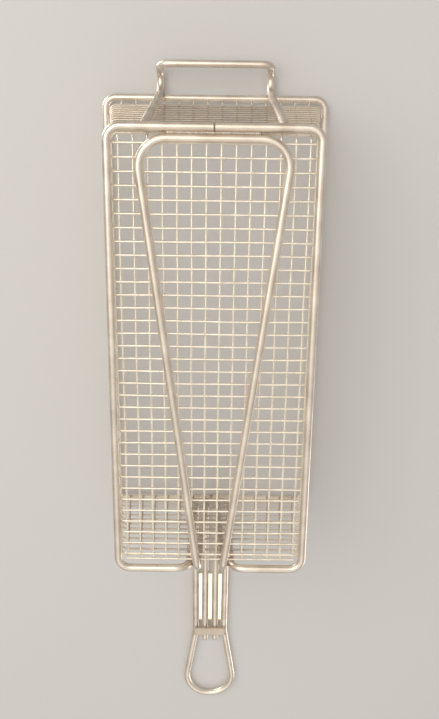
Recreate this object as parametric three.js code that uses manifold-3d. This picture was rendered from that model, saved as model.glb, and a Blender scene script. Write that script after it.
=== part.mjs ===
// Wire frying basket with a long grip handle and a hanging hook, in millimetres.
// It stands on its bottom frame with its mouth up (+Z) and its handle along +Y.
// Every piece is bent or cut stock: 6 mm rods, 1.5 mm mesh wires and two flat strips.
import * as THREE from 'three';
import { mergeVertices } from 'three/addons/utils/BufferGeometryUtils.js';
import Module from 'manifold-3d';

const wasm = await Module();
wasm.setup();

// ---- driving dimensions -------------------------------------------------------------------

const ROD = 6;                  // diameter of the frame, brace, rim and hook wires
const MESH_WIRE = 1.5;          // thickness of every mesh wire
const WELD_GAP = 0.3;           // clearance left between pieces that are welded together

const FRAME_HALF_X = 72;        // bottom frame, to the middle of its wire
const FRAME_HALF_Y = 167.8;
const FRAME_BEND = 9.5;
const FRAME_Z = ROD / 2;

const RIM_HALF_X = 91.1;        // rim, to the middle of its wire
const RIM_HALF_Y = 184.5;
const RIM_BEND = 8.5;
const RIM_Z = 152;

const FLOOR_Z = 6.5;            // height where the walls have their base size
const BASE_HALF_X = 70.5;       // outer wires of the mesh walls at FLOOR_Z
const BASE_HALF_Y = 163.7;
const WALL_SLOPE = 0.127;       // outward lean of the mesh walls per unit of height
const WALL_TOP_Z = 148.3;       // the uprights stop just under the rim

const LENGTH_WIRES = 14;        // wires that run from end to end
const LENGTH_PITCH = 10;
const LENGTH_TOP_PITCH = 11.95; // the same wires, fanned out at the rim
const CROSS_WIRES = 34;         // wires that run from side to side
const CROSS_PITCH = 9.525;
const CROSS_TOP_PITCH = 10.35;

const RINGS = 13;               // wires that go round the walls
const FIRST_RING_Z = 14.4;
const RING_PITCH = 10.3;
const RING_BEND = 4;

const ROD_SLOPE = 0.141;        // lean of the rods that climb the two end walls
const WALL_BEND = 10;           // where those rods turn outward at the rim
const ROD_TOP_Y = FRAME_HALF_Y + ROD_SLOPE * (RIM_Z - FRAME_Z);

const OUTER_ROD_BOTTOM_X = 16.8;
const OUTER_ROD_RIM_X = 15.3;
const OUTER_ROD_END_X = 14.4;
const FOOT_BEND = 11;           // the frame's cut bar turns up the wall with this radius
const FLARE_Y = 336;            // the outer rods spread into the grip from here
const FLARE_BEND = 19;
const GRIP_CORNER_X = 27.4;
const GRIP_TIP_Y = 414;
const GRIP_BEND = 22.5;

const BRACE_WIDE_Y = -160.3;    // wide end of the brace, next to the frame's hook-end bar
const BRACE_CORNER_X = 53.7;
const BRACE_BEND = 19;
const BRACE_NARROW_X = 10;
const BRACE_FOOT_BEND = 6;
const INNER_ROD_X = 5;
const INNER_ROD_END_Y = 348;

const HOOK_FOOT_X = 47.5;
const HOOK_FOOT_Z = 7.2;
const HOOK_X = 45.4;
const HOOK_BAR_X = 44.9;
const HOOK_SHOULDER_Y = -204.5;
const HOOK_BAR_Y = -211;
const HOOK_BAR_Z = 134.5;
const HOOK_BEND = 8;

const PLATE_HALF_X = 14.5;
const PLATE_NEAR_Y = 271.2;
const PLATE_FAR_Y = 327;
const PLATE_CORNER = 3;
const PLATE_THICKNESS = 1.5;

const STRIP_HALF_X = 15.5;
const STRIP_Y = 334.75;
const STRIP_WIDTH = 8.2;
const STRIP_THICKNESS = 2;

const QUARTER_TURN = Math.PI / 2;
const BEND_STEP = Math.PI / 8;  // one facet of a bent rod turns at most this much

// ---- materials ----------------------------------------------------------------------------

const rodSteel = new THREE.MeshStandardMaterial({ color: 0xcdbfae, roughness: 0.5, metalness: 1 });
const meshSteel = new THREE.MeshStandardMaterial({ color: 0xd6c6ad, roughness: 0.5, metalness: 1 });
const plateSteel = new THREE.MeshStandardMaterial({ color: 0xe9dfc9, roughness: 0.22, metalness: 1 });

// ---- bent rods ----------------------------------------------------------------------------

// A path made of straight runs and true arcs. Its stations are the ends of the straight runs
// and the facets of each arc, so a long straight run costs only two of them.
class BentPath extends THREE.Curve {
  constructor(corners, levelStation) {
    super();
    this.levelStation = levelStation;
    this.stations = [];
    this.tangents = [];
    corners.forEach((corner, index) => this.addCorner(corners, corner, index));
  }

  addCorner(corners, corner, index) {
    const before = corners[Math.max(index - 1, 0)].at;
    const after = corners[Math.min(index + 1, corners.length - 1)].at;
    const arriving = corner.at.clone().sub(before).normalize();
    const leaving = after.clone().sub(corner.at).normalize();
    if (index === 0 || index === corners.length - 1) {
      this.stations.push(corner.at.clone());
      this.tangents.push(index === 0 ? leaving : arriving);
      return;
    }
    const turn = arriving.angleTo(leaving);
    const axis = arriving.clone().cross(leaving).normalize();
    const spoke = arriving.clone().cross(axis).multiplyScalar(corner.bend);
    const start = corner.at.clone().addScaledVector(arriving, -corner.bend * Math.tan(turn / 2));
    const centre = start.clone().sub(spoke);
    const facets = Math.ceil(turn / BEND_STEP);
    for (let facet = 0; facet <= facets; facet += 1) {
      const angle = (turn * facet) / facets;
      this.stations.push(spoke.clone().applyAxisAngle(axis, angle).add(centre));
      this.tangents.push(arriving.clone().applyAxisAngle(axis, angle));
    }
  }

  get steps() {
    return this.stations.length - 1;
  }

  getPoint(t, target = new THREE.Vector3()) {
    return target.copy(this.stations[Math.round(t * this.steps)]);
  }

  getPointAt(u, target) {
    return this.getPoint(u, target);
  }

  getTangentAt(u, target = new THREE.Vector3()) {
    return target.copy(this.tangents[Math.round(u * this.steps)]);
  }

  // The section keeps its roll along the wire, and is level at one chosen station.
  computeFrenetFrames(segments, closed) {
    const frames = super.computeFrenetFrames(segments, closed);
    const station = this.levelStation(frames.tangents);
    const along = frames.tangents[station];
    const level = new THREE.Vector3(0, 0, 1).projectOnPlane(along).normalize();
    const sideways = along.clone().cross(frames.normals[station]);
    const roll = Math.atan2(level.dot(sideways), level.dot(frames.normals[station]));
    frames.normals.forEach((normal, index) => {
      normal.applyAxisAngle(frames.tangents[index], roll);
      frames.binormals[index].applyAxisAngle(frames.tangents[index], roll);
    });
    return frames;
  }
}

const firstLevelStation = (tangents) => tangents.findIndex(({ z }) => Math.abs(z) < 1e-6);
const middleStation = (tangents) => Math.floor(tangents.length / 2);

const corner = (x, y, z, bend = 0) => ({ at: new THREE.Vector3(x, y, z), bend });

// Half of a wire that is symmetric about the YZ plane, completed with its mirror image.
function mirroredPath(half, levelStation) {
  const otherHalf = half.map(({ at, bend }) => corner(-at.x, at.y, at.z, bend)).reverse();
  return new BentPath([...half, ...otherHalf], levelStation);
}

// An eight-sided section whose flats touch the round rod it stands for.
function rodSection() {
  const reach = ROD / 2 / Math.cos(Math.PI / 8);
  const shape = new THREE.Shape();
  for (let side = 0; side < 8; side += 1) {
    const angle = ((side + 0.5) * Math.PI) / 4;
    const [x, y] = [reach * Math.cos(angle), reach * Math.sin(angle)];
    if (side === 0) shape.moveTo(x, y);
    else shape.lineTo(x, y);
  }
  shape.closePath();
  return shape;
}

function bentRod(name, path) {
  const geometry = new THREE.ExtrudeGeometry(rodSection(), { steps: path.steps, extrudePath: path });
  return namedMesh(name, geometry, rodSteel);
}

function namedMesh(name, geometry, material) {
  const mesh = new THREE.Mesh(geometry, material);
  mesh.name = name;
  return mesh;
}

// One wire: bottom frame, outer rods up the handle-end wall, outer handle rods and grip loop.
// Its two ends meet in a butt joint in the middle of the hook-end bar.
function frameAndHandle() {
  return bentRod('frame_and_handle_wire', new BentPath([
    corner(WELD_GAP / 2, -FRAME_HALF_Y, FRAME_Z),
    ...frameSide(1),
    ...frameSide(-1).reverse(),
    corner(-WELD_GAP / 2, -FRAME_HALF_Y, FRAME_Z),
  ], firstLevelStation));
}

function frameSide(side) {
  return [
    corner(side * FRAME_HALF_X, -FRAME_HALF_Y, FRAME_Z, FRAME_BEND),
    corner(side * FRAME_HALF_X, FRAME_HALF_Y, FRAME_Z, FRAME_BEND),
    corner(side * OUTER_ROD_BOTTOM_X, FRAME_HALF_Y, FRAME_Z, FOOT_BEND),
    corner(side * OUTER_ROD_RIM_X, ROD_TOP_Y, RIM_Z, WALL_BEND),
    corner(side * OUTER_ROD_END_X, FLARE_Y, RIM_Z, FLARE_BEND),
    corner(side * GRIP_CORNER_X, GRIP_TIP_Y, RIM_Z, GRIP_BEND),
  ];
}

// One wire: a tapering loop under the floor whose ends climb the wall as the inner rods.
function braceLoop() {
  return bentRod('brace_loop_wire', mirroredPath([
    corner(INNER_ROD_X, INNER_ROD_END_Y, RIM_Z),
    corner(INNER_ROD_X, ROD_TOP_Y, RIM_Z, WALL_BEND),
    corner(BRACE_NARROW_X, FRAME_HALF_Y, FRAME_Z, BRACE_FOOT_BEND),
    corner(BRACE_CORNER_X, BRACE_WIDE_Y, FRAME_Z, BRACE_BEND),
  ], middleStation));
}

// One wire: two legs up the hook-end wall, over the rim and down to a cross bar.
function hangerHook() {
  const footY = -FRAME_HALF_Y - ROD_SLOPE * (HOOK_FOOT_Z - FRAME_Z);
  return bentRod('hanger_hook_wire', mirroredPath([
    corner(HOOK_FOOT_X, footY, HOOK_FOOT_Z),
    corner(HOOK_X, -ROD_TOP_Y, RIM_Z, WALL_BEND),
    corner(HOOK_X, HOOK_SHOULDER_Y, RIM_Z, HOOK_BEND),
    corner(HOOK_BAR_X, HOOK_BAR_Y, HOOK_BAR_Z, HOOK_BEND),
  ], firstLevelStation));
}

// ---- closed wires: rim and rings ------------------------------------------------------------

function roundedRectangle(target, halfX, halfY, bend) {
  const [x, y] = [halfX - bend, halfY - bend];
  target.moveTo(halfX, -y);
  target.lineTo(halfX, y);
  target.absarc(x, y, bend, 0, QUARTER_TURN, false);
  target.absarc(-x, y, bend, QUARTER_TURN, 2 * QUARTER_TURN, false);
  target.absarc(-x, -y, bend, 2 * QUARTER_TURN, 3 * QUARTER_TURN, false);
  target.absarc(x, -y, bend, 3 * QUARTER_TURN, 4 * QUARTER_TURN, false);
  return target;
}

// A flat band on a rounded rectangle: halfX, halfY and bend are those of its middle line.
function closedBand(halfX, halfY, bend, width) {
  const reach = width / 2;
  const shape = roundedRectangle(new THREE.Shape(), halfX + reach, halfY + reach, bend + reach);
  shape.holes.push(roundedRectangle(new THREE.Path(), halfX - reach, halfY - reach, bend - reach));
  return shape;
}

function rim() {
  const flat = ROD * Math.tan(Math.PI / 8);
  const chamfer = (ROD - flat) / 2;
  const geometry = new THREE.ExtrudeGeometry(closedBand(RIM_HALF_X, RIM_HALF_Y, RIM_BEND, flat), {
    depth: flat,
    bevelThickness: chamfer,
    bevelSize: chamfer,
    bevelSegments: 1,
    curveSegments: 4,
  });
  const mesh = namedMesh('rim_wire', geometry, rodSteel);
  mesh.position.z = RIM_Z - flat / 2;
  return mesh;
}

const wallLean = Math.atan(WALL_SLOPE);
const wallReach = (base, z) => base + WALL_SLOPE * (z - FLOOR_Z);

// The side uprights are outside the rings and the end uprights are inside them.
const ringInset = MESH_WIRE / 2 / Math.cos(wallLean) + WELD_GAP + MESH_WIRE / 2;
const endInset = 2 * ringInset + WALL_SLOPE * MESH_WIRE;

function ringWire(index) {
  const z = FIRST_RING_Z + index * RING_PITCH;
  const halfX = wallReach(BASE_HALF_X, z - MESH_WIRE / 2) - ringInset;
  const halfY = wallReach(BASE_HALF_Y, z - MESH_WIRE / 2) - ringInset;
  const geometry = new THREE.ExtrudeGeometry(closedBand(halfX, halfY, RING_BEND, MESH_WIRE), {
    depth: MESH_WIRE,
    bevelEnabled: false,
    curveSegments: 4,
  });
  const mesh = namedMesh(`ring_wire_${String(index + 1).padStart(2, '0')}`, geometry, meshSteel);
  mesh.position.z = z - MESH_WIRE / 2;
  return mesh;
}

// ---- families of parallel mesh wires --------------------------------------------------------

// A flat panel of wires that run up from y = 0, tied along both ends by an edge wire.
// The wires may fan out: their pitch goes from lowPitch at the bottom to highPitch at the top.
function wirePanel({ count, lowPitch, highPitch, height }) {
  const half = MESH_WIRE / 2;
  const lowX = (place) => (place - (count - 1) / 2) * lowPitch;
  const highX = (place) => (place - (count - 1) / 2) * highPitch;
  const xAt = (place, y) => THREE.MathUtils.lerp(lowX(place), highX(place), y / height);
  const last = count - 1;
  let panel = solidSlab([
    [lowX(0) - half, 0],
    [lowX(last) + half, 0],
    [highX(last) + half, height],
    [highX(0) - half, height],
  ], MESH_WIRE);
  const [bottom, top] = [MESH_WIRE, height - MESH_WIRE];
  for (let place = 0; place < last; place += 1) {
    panel = panel.subtract(solidSlab([
      [xAt(place, bottom) + half, bottom],
      [xAt(place + 1, bottom) - half, bottom],
      [xAt(place + 1, top) - half, top],
      [xAt(place, top) + half, top],
    ], 2 * MESH_WIRE));
  }
  return solidGeometry(panel);
}

// A flat slab with a straight-sided outline, centred on z = 0, ready to be cut.
function solidSlab(outline, thickness) {
  const shape = new THREE.Shape(outline.map(([x, y]) => new THREE.Vector2(x, y)));
  const slab = new THREE.ExtrudeGeometry(shape, { depth: thickness, bevelEnabled: false });
  slab.translate(0, 0, -thickness / 2);
  slab.deleteAttribute('normal');
  slab.deleteAttribute('uv');
  const shared = mergeVertices(slab);
  return new wasm.Manifold(new wasm.Mesh({
    numProp: 3,
    vertProperties: new Float32Array(shared.attributes.position.array),
    triVerts: new Uint32Array(shared.index.array),
  }));
}

function solidGeometry(solid) {
  const { vertProperties, triVerts } = solid.getMesh();
  const geometry = new THREE.BufferGeometry();
  geometry.setAttribute('position', new THREE.BufferAttribute(vertProperties, 3));
  geometry.setIndex(new THREE.BufferAttribute(triVerts, 1));
  geometry.computeVertexNormals();
  return geometry;
}

// The floor: cross wires rest on the frame, lengthwise wires lie on top of them.
const FLOOR_SHORTFALL = 1.2;    // the floor wires stop this far inside the walls they meet
const FOOT_LIFT = 0.1;          // the uprights start this far above the underside of those wires
const crossWiresZ = ROD + WELD_GAP + MESH_WIRE / 2;
const lengthWiresZ = crossWiresZ + MESH_WIRE + WELD_GAP;
const crossWiresHalf = BASE_HALF_X - FLOOR_SHORTFALL;
const lengthWiresHalf = BASE_HALF_Y - endInset - FLOOR_SHORTFALL;

function floorLengthWires() {
  const geometry = wirePanel({
    count: LENGTH_WIRES,
    lowPitch: LENGTH_PITCH,
    highPitch: LENGTH_PITCH,
    height: 2 * lengthWiresHalf,
  });
  const mesh = namedMesh('floor_length_wires', geometry, meshSteel);
  mesh.position.set(0, -lengthWiresHalf, lengthWiresZ);
  return mesh;
}

function floorCrossWires() {
  const geometry = wirePanel({
    count: CROSS_WIRES,
    lowPitch: CROSS_PITCH,
    highPitch: CROSS_PITCH,
    height: 2 * crossWiresHalf,
  });
  const mesh = namedMesh('floor_cross_wires', geometry, meshSteel);
  mesh.rotation.z = -QUARTER_TURN;
  mesh.position.set(-crossWiresHalf, 0, crossWiresZ);
  return mesh;
}

// A wall of uprights, built facing +Y and then turned about the basket's upright axis.
function wallUprights(name, turn, base, wires) {
  const startZ = wires.floorZ - MESH_WIRE / 2 + FOOT_LIFT;
  const geometry = wirePanel({ ...wires, height: (WALL_TOP_Z - startZ) / Math.cos(wallLean) });
  const mesh = namedMesh(name, geometry, meshSteel);
  mesh.rotation.x = QUARTER_TURN - wallLean;
  mesh.position.set(0, wallReach(base, startZ), startZ);
  const wall = new THREE.Group();
  wall.rotation.z = turn;
  wall.add(mesh);
  return wall;
}

const endWires = {
  floorZ: lengthWiresZ,
  count: LENGTH_WIRES,
  lowPitch: LENGTH_PITCH,
  highPitch: LENGTH_TOP_PITCH,
};
const sideWires = {
  floorZ: crossWiresZ,
  count: CROSS_WIRES,
  lowPitch: CROSS_PITCH,
  highPitch: CROSS_TOP_PITCH,
};

// ---- handle fittings --------------------------------------------------------------------------

// A blank plate across the top of the four handle rods.
function handlePlate() {
  const length = PLATE_FAR_Y - PLATE_NEAR_Y;
  const outline = roundedRectangle(new THREE.Shape(), PLATE_HALF_X, length / 2, PLATE_CORNER);
  const geometry = new THREE.ExtrudeGeometry(outline, {
    depth: PLATE_THICKNESS,
    bevelEnabled: false,
    curveSegments: 4,
  });
  const mesh = namedMesh('handle_plate', geometry, plateSteel);
  mesh.position.set(0, PLATE_NEAR_Y + length / 2, RIM_Z + ROD / 2 + WELD_GAP);
  return mesh;
}

// A flat strip across the underside of the rods, where the grip starts to spread.
function handleStrip() {
  const geometry = new THREE.BoxGeometry(2 * STRIP_HALF_X, STRIP_WIDTH, STRIP_THICKNESS);
  const mesh = namedMesh('handle_cross_strip', geometry, rodSteel);
  mesh.position.set(0, STRIP_Y, RIM_Z - ROD / 2 - WELD_GAP - STRIP_THICKNESS / 2);
  return mesh;
}

// ---- assembly -----------------------------------------------------------------------------------

const basket = new THREE.Group();
basket.add(frameAndHandle(), braceLoop(), rim(), hangerHook(), handlePlate(), handleStrip());
basket.add(floorLengthWires(), floorCrossWires());
basket.add(wallUprights('handle_end_uprights', 0, BASE_HALF_Y - endInset, endWires));
basket.add(wallUprights('hook_end_uprights', 2 * QUARTER_TURN, BASE_HALF_Y - endInset, endWires));
basket.add(wallUprights('left_side_uprights', QUARTER_TURN, BASE_HALF_X, sideWires));
basket.add(wallUprights('right_side_uprights', -QUARTER_TURN, BASE_HALF_X, sideWires));
for (let index = 0; index < RINGS; index += 1) basket.add(ringWire(index));

// The origin is the middle of the part's footprint, on the surface it stands on.
basket.updateMatrixWorld(true);
const middle = new THREE.Box3().setFromObject(basket, true).getCenter(new THREE.Vector3());
basket.position.set(-middle.x, -middle.y, 0);

const part = new THREE.Group();
part.add(basket);

export default part;
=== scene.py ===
"""Wire frying basket: the looks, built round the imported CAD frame.

Sizes are in millimetres, measured from the middle of the basket, with y along the handle, and
in_metres turns them into metres in the row frame. Backdrops and lights are placed in metres.
"""
import math

import bmesh
import bpy
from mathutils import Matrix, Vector, kdtree, noise


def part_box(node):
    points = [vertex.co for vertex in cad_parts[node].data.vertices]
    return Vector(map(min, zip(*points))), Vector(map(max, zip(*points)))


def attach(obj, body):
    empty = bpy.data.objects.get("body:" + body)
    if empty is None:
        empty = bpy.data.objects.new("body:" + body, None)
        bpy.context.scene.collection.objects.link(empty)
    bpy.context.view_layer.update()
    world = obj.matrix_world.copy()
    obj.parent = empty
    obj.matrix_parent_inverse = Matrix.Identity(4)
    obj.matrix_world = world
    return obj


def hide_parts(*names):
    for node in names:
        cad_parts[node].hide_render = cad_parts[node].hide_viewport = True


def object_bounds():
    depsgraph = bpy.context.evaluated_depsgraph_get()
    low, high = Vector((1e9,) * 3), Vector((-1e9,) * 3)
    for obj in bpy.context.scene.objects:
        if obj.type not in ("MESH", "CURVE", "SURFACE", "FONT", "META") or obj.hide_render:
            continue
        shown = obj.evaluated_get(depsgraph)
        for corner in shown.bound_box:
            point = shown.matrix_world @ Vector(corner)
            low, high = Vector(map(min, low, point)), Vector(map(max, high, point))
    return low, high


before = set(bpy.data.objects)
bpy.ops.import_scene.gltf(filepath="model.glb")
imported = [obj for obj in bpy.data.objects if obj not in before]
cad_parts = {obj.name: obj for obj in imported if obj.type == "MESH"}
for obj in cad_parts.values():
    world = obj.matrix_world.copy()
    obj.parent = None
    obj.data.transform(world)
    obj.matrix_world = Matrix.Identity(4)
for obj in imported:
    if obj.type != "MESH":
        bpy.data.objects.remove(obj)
cad_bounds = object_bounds()

MM = 0.001
MIDDLE_Y = sum(corner.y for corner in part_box("rim_wire")) / 2 / MM


def node_box(name):
    """Lowest and highest corner of a CAD node, in millimetres from the basket's middle."""
    return [corner / MM - Vector((0, MIDDLE_Y, 0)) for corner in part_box(name)]


def in_metres(point):
    """A point of the basket as a point of the row frame."""
    return (Vector(point) + Vector((0, MIDDLE_Y, 0))) * MM


# ---- sizes ---------------------------------------------------------------------------------

ROD = 6.0
MESH_WIRE = 1.5
ROD_SIDES = 24
MESH_SIDES = 8

rim_high = node_box("rim_wire")[1]
RIM_HALF_X = rim_high.x - ROD / 2
RIM_HALF_Y = rim_high.y - ROD / 2
RIM_Z = rim_high.z - ROD / 2
RIM_BEND = 8.5

frame_low, frame_high = node_box("frame_and_handle_wire")
FRAME_HALF_X = frame_high.x - ROD / 2
FRAME_HALF_Y = -frame_low.y - ROD / 2
FRAME_Z = ROD / 2
FRAME_BEND = 9.5
SEAM_GAP = 0.4              # between the wire's two ends, in the middle of the hook-end bar
GRIP_TIP_Y = frame_high.y - ROD / 2

ROD_SLOPE = 0.141           # how far a rod on an end wall leans out per millimetre of height
ROD_TOP_Y = FRAME_HALF_Y + ROD_SLOPE * (RIM_Z - FRAME_Z)
WALL_BEND = 10
OUTER_ROD_BOTTOM_X = 16.8
OUTER_ROD_RIM_X = 15.3
OUTER_ROD_END_X = 14.4
FOOT_BEND = 11
FLARE_Y = 336
FLARE_BEND = 19
GRIP_CORNER_X = 27.4
GRIP_BEND = 22.5

brace_low, brace_high = node_box("brace_loop_wire")
BRACE_WIDE_Y = brace_low.y + ROD / 2
INNER_ROD_END_Y = brace_high.y
BRACE_CORNER_X = 53.7
BRACE_BEND = 19
BRACE_NARROW_X = 10
BRACE_FOOT_BEND = 6
INNER_ROD_X = 5

hook_high = node_box("hanger_hook_wire")[1]
HOOK_FOOT_X = hook_high.x - ROD / 2
HOOK_FOOT_Z = 5.4
HOOK_X = 45.4
HOOK_BAR_X = 44.9
HOOK_SHOULDER_Y = -204.5
HOOK_BAR_Y = -211
HOOK_BAR_Z = 134.5
HOOK_BEND = 8

BASE_HALF_X = 70.5
BASE_HALF_Y = 163.7
WALL_SLOPE = 0.127          # the same for the mesh of all four walls
WALL_BASE_Z = 6.5
UPRIGHT_TOP_Z = 150.2
MESH_BEND = 1.5

CROSS_WIRES = 34
CROSS_PITCH = 9.525
CROSS_TOP_PITCH = 10.35
CROSS_WIRES_Z = ROD + 0.45 * MESH_WIRE
LENGTH_WIRES = 14
LENGTH_PITCH = 10
LENGTH_TOP_PITCH = 11.95
LENGTH_WIRES_Z = CROSS_WIRES_Z + 0.85 * MESH_WIRE
FLOOR_END_Y = 161.6         # the short wire at the floor's handle end
FLOOR_END_HALF = BASE_HALF_X - 4.5

RINGS = 13
FIRST_RING_Z = 14.4
RING_PITCH = 10.3
RING_BEND = 4
BEND_MARGIN = 1.5           # a ring has no spot weld this close to its bends
RING_SIDE_INSET = 1.35      # the side uprights are outside the rings
RING_END_INSET = 1.8
UPRIGHT_END_INSET = 3.1     # the end uprights are inside them, and lean out to the rim
LEAN_OUT_Z = 140.0

strip_low, strip_high = node_box("handle_cross_strip")
plate_low, plate_high = node_box("handle_plate")
PLATE_CORNER = 3
PLATE_EDGE = 0.45
PLATE_SUNK = 0.35           # the plate and the strip sink this far into the rods
STRIP_CORNER = 0.7
STRIP_EDGE = 0.4


def wall_x(z):
    """Where the mesh of the right wall is at height z; wall_y is the same for the end walls."""
    return BASE_HALF_X + WALL_SLOPE * (z - WALL_BASE_Z)


def wall_y(z):
    return BASE_HALF_Y + WALL_SLOPE * (z - WALL_BASE_Z)


def upright_y(z):
    """The end uprights, up to where they lean out to the rim."""
    return wall_y(z) - UPRIGHT_END_INSET


def fanned(place, low_pitch, top_pitch, z):
    """Where one of a family of wires is at height z: the family spreads towards the rim."""
    rise = (z - WALL_BASE_Z) / (UPRIGHT_TOP_Z - WALL_BASE_Z)
    return place * (low_pitch + (top_pitch - low_pitch) * rise)


def length_wire_x(index, z=WALL_BASE_Z):
    return fanned(index - (LENGTH_WIRES - 1) / 2, LENGTH_PITCH, LENGTH_TOP_PITCH, z)


def cross_wire_y(index, z=WALL_BASE_Z):
    return fanned(index - (CROSS_WIRES - 1) / 2, CROSS_PITCH, CROSS_TOP_PITCH, z)


def ring_z(index):
    """Height of a ring, counted from the lowest one."""
    return FIRST_RING_Z + index * RING_PITCH


# ---- camera --------------------------------------------------------------------------------

CAMERA_AT = (2.3, -189.7, -554.2)    # under the basket's floor, towards its hook end
CAMERA_TILT = math.radians(18.245)   # from straight up, towards the handle
CAMERA_ROLL = math.radians(0.075)
CAMERA_TURN = math.radians(-0.74)
LENS = 40.62
NEAR_CLIP = 0.01            # metres


def make_camera():
    camera = bpy.data.objects.new("camera", bpy.data.cameras.new("camera"))
    bpy.context.scene.collection.objects.link(camera)
    camera.data.lens = LENS
    camera.data.clip_start = NEAR_CLIP
    camera.location = in_metres(CAMERA_AT)
    camera.rotation_euler = (math.pi - CAMERA_TILT, CAMERA_ROLL, CAMERA_TURN)
    bpy.context.scene.camera = camera


# ---- bent wires ----------------------------------------------------------------------------

ARC_STEP = math.radians(7)
ROD_STEP = 3.5
RIM_STEP = 2.5
END_ANGLES = (0, 22.5, 45, 67.5, 90)    # stations round the rounded edge of a wire's end
END_CLEARANCE = 0.3
SHARP_FROM = math.radians(50)           # edges that fold more than this aren't shaded smooth


def corner(x, y, z, bend=0.0):
    """A corner of a wire's centre line, and the radius it is bent to."""
    return Vector((x, y, z)), bend


def arc(before, at, after, bend):
    """Points of the true arc that rounds one corner of a bent wire."""
    arriving = (at - before).normalized()
    leaving = (after - at).normalized()
    turn = arriving.angle(leaving)
    axis = arriving.cross(leaving).normalized()
    spoke = arriving.cross(axis) * bend
    start = at - arriving * bend * math.tan(turn / 2)
    facets = math.ceil(turn / ARC_STEP)
    centre = start - spoke
    turned = [_turned(spoke, axis, turn * facet / facets) for facet in range(facets + 1)]
    return [centre + arm for arm in turned]


def _turned(arm, axis, angle):
    """The arm, turned about an axis at right angles to it."""
    return arm * math.cos(angle) + axis.cross(arm) * math.sin(angle)


def bent(corners):
    """The centre line of a wire bent at the given corners."""
    points = []
    for index, (at, bend) in enumerate(corners):
        if bend:
            before, after = corners[index - 1][0], corners[(index + 1) % len(corners)][0]
            points += arc(before, at, after, bend)
        else:
            points.append(at)
    return points


def mirrored(half):
    """A wire that is the same on both sides of the basket's middle, from one half of it."""
    return half + [corner(-at.x, at.y, at.z, bend) for at, bend in reversed(half)]


def spaced(points, step, closed=False):
    """The same line with points at most a step apart."""
    ends = points[1:] + points[:1] if closed else points[1:]
    line = []
    for start, end in zip(points, ends):
        parts = max(1, math.ceil((end - start).length / step))
        line += [start.lerp(end, part / parts) for part in range(parts)]
    return line if closed else line + [points[-1]]


def with_ends(line, radius, rounding):
    """Rounds the two ends of a cut wire: its stations, and the radius at each."""
    angles = [math.radians(angle) for angle in END_ANGLES]
    depths = [rounding * (1 - math.cos(angle)) for angle in angles] + [rounding + END_CLEARANCE]
    reaches = [radius - rounding * (1 - math.sin(angle)) for angle in angles] + [radius]
    ahead = (line[1] - line[0]).normalized()
    back = (line[-2] - line[-1]).normalized()
    head = [line[0] + ahead * depth for depth in depths]
    tail = [line[-1] + back * depth for depth in reversed(depths)]
    far_enough = [
        at for at in line[1:-1]
        if min((at - line[0]).length, (at - line[-1]).length) > rounding + 2 * END_CLEARANCE
    ]
    radii = reaches + [radius] * len(far_enough) + reaches[::-1]
    return head + far_enough + tail, radii


class Metal:
    """A mesh gathered from swept wires, with what their material needs at each point."""

    def __init__(self):
        self.points, self.faces, self.places, self.heats_and_darkening = [], [], [], []

    def add(self, line, radii, sides, heats_and_darkening, closed=False):
        """Sweeps a round section along a centre line without twisting it."""
        first = len(self.points)
        count = len(line)
        normal = None
        travelled = 0.0
        before = None
        for index, at in enumerate(line):
            along = _direction(line, index, closed)
            if normal is None:
                normal = along.orthogonal().normalized()
            else:
                normal.rotate(before.rotation_difference(along))
                travelled += (at - line[index - 1]).length
            before = along
            self._add_section(at, along, normal, radii[index], sides, travelled, heats_and_darkening[index])
        for index in range(count if closed else count - 1):
            self._add_band(first + index * sides, first + (index + 1) % count * sides, sides)
        if not closed:
            self.faces.append(tuple(reversed(range(first, first + sides))))
            self.faces.append(tuple(range(first + (count - 1) * sides, first + count * sides)))

    def _add_section(self, at, along, normal, radius, sides, travelled, heat_and_darkening):
        across = along.cross(normal)
        for side in range(sides):
            angle = math.tau * side / sides
            spoke = normal * math.cos(angle) + across * math.sin(angle)
            self.points.append(in_metres(at + spoke * radius))
            place = (radius * math.cos(angle), radius * math.sin(angle), travelled)
            self.places.append(Vector(place) * MM)
            self.heats_and_darkening.append(heat_and_darkening)

    def _add_band(self, low, high, sides):
        for side in range(sides):
            following = (side + 1) % sides
            self.faces.append((low + side, low + following, high + following, high + side))

    def make(self, name, material, slot, *nodes):
        """Makes the piece, with each point's place on its wire and its tint value as attributes:
        weld heat, and on the mesh also painted shade.
        """
        mesh = bpy.data.meshes.new(name)
        mesh.from_pydata(self.points, [], self.faces)
        place = mesh.attributes.new("wire_place", "FLOAT_VECTOR", "POINT")
        place.data.foreach_set("vector", [value for one in self.places for value in one])
        mesh.attributes.new("weld_heat_and_darkening", "FLOAT", "POINT").data.foreach_set("value", self.heats_and_darkening)
        return finish_piece(mesh, name, material, slot, *nodes)


def _direction(line, index, closed):
    """The direction of a centre line at one of its points."""
    last = len(line) - 1
    if closed:
        return (line[(index + 1) % len(line)] - line[index - 1]).normalized()
    return (line[min(index + 1, last)] - line[max(index - 1, 0)]).normalized()


def finish_piece(mesh, name, material, slot, *nodes):
    """Makes a smooth-shaded piece of a mesh on the root body, and hides the CAD nodes it stands
    for.
    """
    mesh.materials.append(material)
    mesh.polygons.foreach_set("use_smooth", [True] * len(mesh.polygons))
    mesh.set_sharp_from_angle(angle=SHARP_FROM)
    piece = bpy.data.objects.new(name, mesh)
    bpy.context.scene.collection.objects.link(piece)
    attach(piece, "root")
    if nodes:
        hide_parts(*nodes)
    return piece


# ---- weld beads ----------------------------------------------------------------------------

RIPPLE = 1.3                # one freeze line of a bead, measured along it
RIPPLE_LOW = 0.86           # a bead's width between two freeze lines, as a share of the full one
LUMP_DEPTH = 0.14
LUMP_SIZE = 2
BEAD_SIDES = 12
BEAD_STEP = 0.35
BEAD_TAPER = 1.6
BEAD_TIP = 0.12             # how far a bead has swollen at its very end, from 0 to 1

BRACE_BEAD_X = (-33, 32)
BRACE_BEAD_Z = 3.2
BRACE_BEAD_RADIUS = 1.25

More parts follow.
